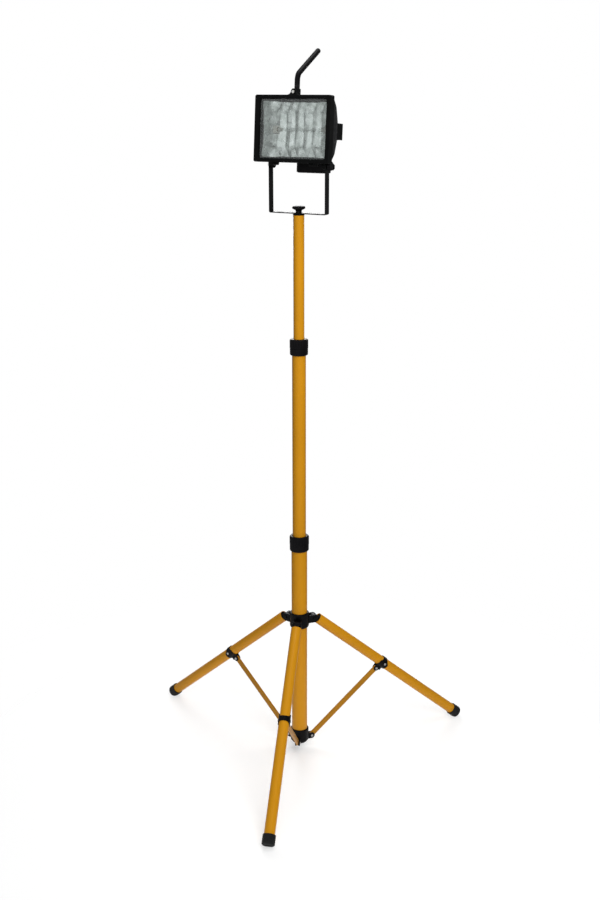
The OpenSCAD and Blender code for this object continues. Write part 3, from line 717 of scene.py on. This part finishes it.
def rounded_outline(w, h, r):
    """Points round a rectangle with rounded corners, in X and Z, the same number for any size."""
    points = []
    for cx, cz, start in ((1, 1, 0), (-1, 1, 90), (-1, -1, 180), (1, -1, 270)):
        points += arc((cx * (w / 2 - r), cz * (h / 2 - r)), r, start, start + 90)
    return points


def glass_pane():
    """The front glass, with ground edges."""
    low, high = local_box("front_glass", HEAD)
    middle = (low + high) / 2
    w, h = high.x - low.x, high.z - low.z
    bm = bmesh.new()
    rings = []
    for y, inset in ((low.y, GLASS_BEVEL), (low.y + GLASS_BEVEL, 0),
                     (high.y - GLASS_BEVEL, 0), (high.y, GLASS_BEVEL)):
        outline = rounded_outline(w - 2 * inset, h - 2 * inset, GLASS_CORNER_R - inset)
        rings.append([bm.verts.new((middle.x + x, y, middle.z + z)) for x, z in outline])
    bridge(bm, rings)
    bm.faces.new(rings[0])
    bm.faces.new(rings[-1])
    place("front_glass_pane", to_mesh("front_glass", bm), HEAD, "front_glass", sharp=20)


# The tray's depth runs from TRAY_LIP behind the CAD tray's front to TRAY_BACK behind the tilt axis
TRAY_LIP, TRAY_BACK, TRAY_SHEET, TRAY_MARGIN = 4, 15.0, 0.8, 0.5
TRAY_FLUTES, TRAY_STEPS, TRAY_LEAN = 9, 10, 0.6
TRAY_ROWS = (-1, -0.6, 0, 0.6, 1)
FLUTE_BULGE, ROW_BULGE, DENT = 2.4, 0.9, 0.5
TRAY_WELD_DISTANCE = 1e-2


def reflector_tray():
    """A bright sheet dished behind the lamp, pressed into flutes that lean in its outer rows."""
    low, high = local_box("reflector", HEAD)
    middle = (low + high) / 2
    half_w, half_h = (high.x - low.x) / 2 - TRAY_MARGIN, (high.z - low.z) / 2 - TRAY_MARGIN
    front = low.y + TRAY_LIP
    row_edges = [half_h * part for part in TRAY_ROWS]
    upright_h = row_edges[-2]
    spread = TRAY_LEAN * (half_h - upright_h) + 2
    across = TRAY_FLUTES * TRAY_STEPS
    last_row = len(TRAY_ROWS) - 2
    bm = bmesh.new()
    grid = []
    for i in range((last_row + 1) * TRAY_STEPS + 1):
        row, part = min(i // TRAY_STEPS, last_row), (i / TRAY_STEPS) % 1
        z = row_edges[row] + (row_edges[row + 1] - row_edges[row]) * (i / TRAY_STEPS - row)
        line = []
        for k in range(across + 1):
            x = (half_w + spread) * (2 * k / across - 1) - spread / 2
            x += TRAY_LEAN * max(0.0, abs(z) - upright_h)
            # The sheet comes forward at its sides, and a little at its top and bottom
            rise = min(1.0, 0.9 * min(1.0, abs(x / half_w)) ** 7 + 0.3 * abs(z / half_h) ** 3)
            y = TRAY_BACK - (TRAY_BACK - front) * rise
            # No two flutes are pressed alike, and shallow dents run over them
            uneven = 0.8 + 0.3 * math.sin(2.4 * (k // TRAY_STEPS) + 1.7 * row)
            y -= FLUTE_BULGE * uneven * math.sin(math.pi * ((k / TRAY_STEPS) % 1))
            y -= ROW_BULGE * math.sin(math.pi * part)
            y -= DENT * math.sin(0.31 * x + 0.17 * z) * math.sin(0.23 * z - 0.12 * x + 1)
            line.append(bm.verts.new((middle.x + x, y, middle.z + z)))
        grid.append(line)
    for here, there in zip(grid, grid[1:]):
        for k in range(across):
            bm.faces.new((here[k], here[k + 1], there[k + 1], there[k]))
    for sign in (-1, 1):
        cut_away(bm, (middle.x + sign * half_w, 0, 0), (sign, 0, 0))
    bmesh.ops.remove_doubles(bm, verts=bm.verts, dist=TRAY_WELD_DISTANCE)
    bmesh.ops.recalc_face_normals(bm, faces=bm.faces)
    bmesh.ops.solidify(bm, geom=bm.faces[:], thickness=TRAY_SHEET)
    place("reflector_tray", to_mesh("reflector", bm), HEAD, "reflector", sharp=24)


SEAL_R, SEAL_LENGTH, SEAL_TAPER = 3.0, 8, 2.5
ENVELOPE_CHAMFER_R, ENVELOPE_CHAMFER = 0.6, 1.5
COIL_TURNS, COIL_POINTS = 36, 10
COIL_R, COIL_WIRE_R, COIL_LENGTH = 0.75, 0.22, 62
SUPPORT_R, SUPPORT_WIRE_R, SUPPORT_ARC = 3.3, 0.2, 315
SUPPORT_PLACES = (-24, 0, 24)


def lamp_parts():
    """The halogen lamp: quartz envelope with drawn-in ends, and a coiled filament on supports.
    The envelope is its outer surface only."""
    low, high = local_box("lamp_tube", HEAD)
    middle = (low + high) / 2
    half = (high.x - low.x) / 2
    matrix = HEAD @ Matrix.Translation(middle) @ Matrix.Rotation(math.radians(90), 4, "Y")
    body_r, body_half = high.z - middle.z, half - SEAL_LENGTH
    upper_end = [(body_r, body_half - ENVELOPE_CHAMFER), (body_r - ENVELOPE_CHAMFER_R, body_half),
                 (SEAL_R, body_half + SEAL_TAPER), (SEAL_R, half), (0, half)]
    lower_end = [(r, -z) for r, z in reversed(upper_end)]
    bm = bmesh.new()
    lathe(bm, lower_end + upper_end, 48)
    place("lamp_envelope", to_mesh("lamp_tube", bm), matrix, "lamp_tube")

    count = COIL_TURNS * COIL_POINTS
    turned = [2 * math.pi * k / COIL_POINTS for k in range(count + 1)]
    coil = [(COIL_R * math.cos(a), COIL_R * math.sin(a), COIL_LENGTH * (k / count - 0.5))
            for k, a in enumerate(turned)]
    bm = bmesh.new()
    sweep(bm, coil, COIL_WIRE_R, 6, dome=False)
    for z in SUPPORT_PLACES:
        loop = [(x, y, z) for x, y in arc((0, 0), SUPPORT_R, 0, SUPPORT_ARC, 21)]
        sweep(bm, [*loop, (COIL_R, 0, z)], SUPPORT_WIRE_R, 6, dome=False)
    place("lamp_filament", to_mesh("filament", bm), matrix, "filament")


HANDLE_RISE = 29.5
HANDLE_BEND_R = 20.0
HANDLE_BEND_STEPS, HANDLE_ARM_STEPS = 14, 8


def handle_bar():
    """The carrying handle: one bent bar with a domed end."""
    low, high = local_box("handle", HEAD)
    radius = (high.x - low.x) / 2
    foot = Vector((0, low.y + radius, low.z))
    tip = Vector((0, high.y - radius, high.z - radius))
    corner = foot + HANDLE_RISE * UP
    arm = (tip - corner).normalized()
    turn = math.acos(arm.dot(UP))
    start = corner - HANDLE_BEND_R * math.tan(turn / 2) * UP
    centre = start + Vector((0, HANDLE_BEND_R, 0))
    path = [foot, *(foot.lerp(start, k / 3) for k in (1, 2))]
    for k in range(HANDLE_BEND_STEPS + 1):
        a = turn * k / HANDLE_BEND_STEPS
        path.append(centre + Vector((0, -HANDLE_BEND_R * math.cos(a), HANDLE_BEND_R * math.sin(a))))
    path += [path[-1].lerp(tip, k / HANDLE_ARM_STEPS) for k in range(1, HANDLE_ARM_STEPS + 1)]
    bm = bmesh.new()
    sweep(bm, path, radius, 40)
    cut_away(bm, foot, -UP)
    close_rim(bm)
    place("handle_bar", to_mesh("handle", bm), HEAD, "handle")


# ---- everything ----
paint_cad_nodes()
for tube_node in ("lower_tube", "middle_tube", "upper_tube", *(f"{side}_leg_tube" for side in SIDES)):
    tube(tube_node)
for level in ("lower", "upper"):
    collar_body(f"{level}_collar_body")
    twist_nut(f"{level}_collar_nut")

for name, voxel in (("leg_hub", 0.7), ("lower_hub", 0.6), ("lower_hub_rivets", 0.3), ("leg_pins", 0.35),
                    ("hub_lock_screw", 0.5), ("top_plug", 0.5), ("pan_knob", 0.4)):
    softened(name, COLUMN, voxel)
for side in SIDES:
    softened(f"{side}_leg_plug", LEG[side], 0.6)
    softened(f"{side}_leg_clip", LEG[side], 0.5)
    softened(f"{side}_clip_rivets", LEG[side], 0.3)
    softened(f"{side}_brace", BRACE[side], 0.5)
    foot_cap(side)

softened("yoke", YOKE, 0.6, kept=0.5)
softened("tilt_bolts", HEAD, 0.3)
softened("tilt_knob", HEAD, 0.4)
softened("housing", HEAD, 0.9, passes=6, kept=0.5)
softened("bezel", HEAD, 0.7, kept=0.5)
for name, voxel in (("terminal_box", 0.6), ("terminal_box_cover", 0.6), ("gland_body", 0.35),
                    ("gland_nut", 0.35), ("bezel_screw", 0.3), ("lamp_holders", 0.5)):
    softened(name, HEAD, voxel)
glass_pane()
reflector_tray()
lamp_parts()
handle_bar()


# ---- stage ----
FLOOR_RADIUS = 6.0
FLOOR_GONE = 1.1
FLOOR_GLOW = 0.30


def make_floor():
    """A white floor that fades into the white surroundings away from the tripod."""
    bm = bmesh.new()
    bmesh.ops.create_circle(bm, cap_ends=True, segments=96, radius=FLOOR_RADIUS)
    mesh = bpy.data.meshes.new("floor")
    bm.to_mesh(mesh)
    bm.free()
    floor = bpy.data.objects.new("floor", mesh)
    bpy.context.scene.collection.objects.link(floor)
    s = Shader("floor", Roughness=0.8, Specular_IOR_Level=0.1, Emission_Strength=FLOOR_GLOW)
    s.colour(s.mix(s.noise(3, 4), (0.97, 0.97, 0.965), (0.955, 0.955, 0.952)))
    away = s.add("ShaderNodeVectorMath", operation="LENGTH")
    s.link(s.place, away.inputs[0])
    clear = s.add("ShaderNodeBsdfTransparent").outputs["BSDF"]
    faded = s.remap(away.outputs["Value"], 0, FLOOR_GONE)
    s.link(s.blend(faded, s.bsdf.outputs["BSDF"], clear), s.output.inputs["Surface"])
    mesh.materials.append(s.material)


def area_light(name, position, aim, size, power, mirrored=True):
    """A square soft lamp. One that isn't mirrored gives light, but bright surfaces don't show its shape."""
    data = bpy.data.lights.new(name, "AREA")
    data.shape = "RECTANGLE"
    data.size = data.size_y = size
    data.energy = power
    lamp = bpy.data.objects.new(name, data)
    bpy.context.scene.collection.objects.link(lamp)
    lamp.visible_glossy = mirrored
    position = Vector(position)
    lamp.matrix_world = (Matrix.Translation(position)
                         @ (Vector(aim) - position).to_track_quat("-Z", "Y").to_matrix().to_4x4())


def make_world():
    """White surroundings for the view, and light that comes mostly from the front."""
    world = bpy.data.worlds.new("studio")
    bpy.context.scene.world = world
    world.use_nodes = True
    sky = Nodes(world.node_tree)
    place_in_sky = sky.add("ShaderNodeTexCoord").outputs["Generated"]

    def glow(direction, width, strengths):
        """Light that is strongest from one direction. width and strengths each run from away to facing."""
        facing = sky.add("ShaderNodeVectorMath", operation="DOT_PRODUCT")
        facing.inputs[1].default_value = Vector(direction).normalized()
        sky.link(place_in_sky, facing.inputs[0])
        background = sky.add("ShaderNodeBackground")
        background.inputs["Color"].default_value = (0.97, 0.98, 1, 1)
        sky.link(sky.remap(facing.outputs["Value"], *width, *strengths), background.inputs["Strength"])
        return background.outputs["Background"]

    ambient = glow((0.28, -0.9, 0.32), width=(0.35, 0.95), strengths=(0.09, 0.40))
    mirrored = glow((-0.2, -0.95, 0.1), width=(-0.2, 1.0), strengths=(0.28, 1.05))
    seen = world.node_tree.nodes["Background"]
    seen.inputs["Color"].default_value = (1, 1, 1, 1)
    path = sky.add("ShaderNodeLightPath")
    light = sky.blend(path.outputs["Is Glossy Ray"], ambient, mirrored)
    shown = sky.blend(path.outputs["Is Camera Ray"], light, seen.outputs["Background"])
    sky.link(shown, world.node_tree.nodes["World Output"].inputs["Surface"])


make_floor()
make_world()
area_light("key", position=(0.7, -1.3, 1.7), aim=(0, 0.1, 1.0), size=1.2, power=21, mirrored=False)
area_light("rear", position=(-0.6, 2.2, 1.6), aim=(0, 0.1, 0.9), size=1.4, power=32)
area_light("top", position=(0.2, 0.3, 3.0), aim=(0, 0.1, 0.3), size=1.6, power=20)
bpy.context.scene.view_settings.view_transform = "Standard"
